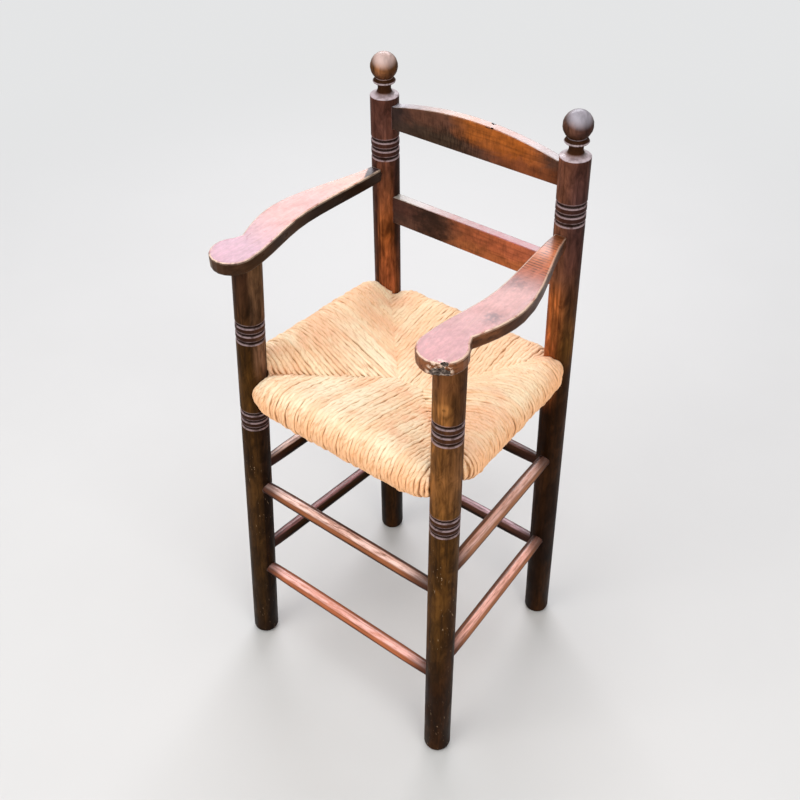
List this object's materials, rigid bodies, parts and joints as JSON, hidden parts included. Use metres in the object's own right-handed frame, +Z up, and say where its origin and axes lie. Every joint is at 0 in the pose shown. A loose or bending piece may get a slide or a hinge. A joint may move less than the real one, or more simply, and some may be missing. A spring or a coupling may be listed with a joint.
{
  "type": "high chair",
  "caption": "Child's high chair of turned, stained wood with splayed posts, ball finials, shaped arms, a slatted back, rungs and a dished seat of woven rush.",
  "frame": {"origin": "on the floor, under the middle of the chair's bounding box", "axes": "+Z up, -Y the way the sitter faces, +X to the viewer's right when the chair faces the viewer"},
  "size_m": [0.3962, 0.3582, 0.9002],
  "materials": {
    "posts": "dark brown stain under worn varnish",
    "rungs": "red-brown stain under worn varnish",
    "rails": "plain, hidden in the rush",
    "arms": "red-brown stain, glossy varnish, worn edges",
    "slats": "red-brown stain, glossy varnish, worn middle",
    "rush": "woven straw-coloured rush"
  },
  "bodies": {
    "root": {"front_post_left": "posts", "front_post_right": "posts", "rear_post_left": "posts", "rear_post_right": "posts", "front_rung_lower": "rungs", "front_rung_upper": "rungs", "back_rung_lower": "rungs", "back_rung_upper": "rungs", "left_rung_lower": "rungs", "left_rung_upper": "rungs", "right_rung_lower": "rungs", "right_rung_upper": "rungs", "seat_rail_front": "rails", "seat_rail_back": "rails", "seat_rail_left": "rails", "seat_rail_right": "rails", "arm_left": "arms", "arm_right": "arms", "back_slat_upper": "slats", "back_slat_lower": "slats", "rush_seat": "rush"}
  },
  "joints": []
}
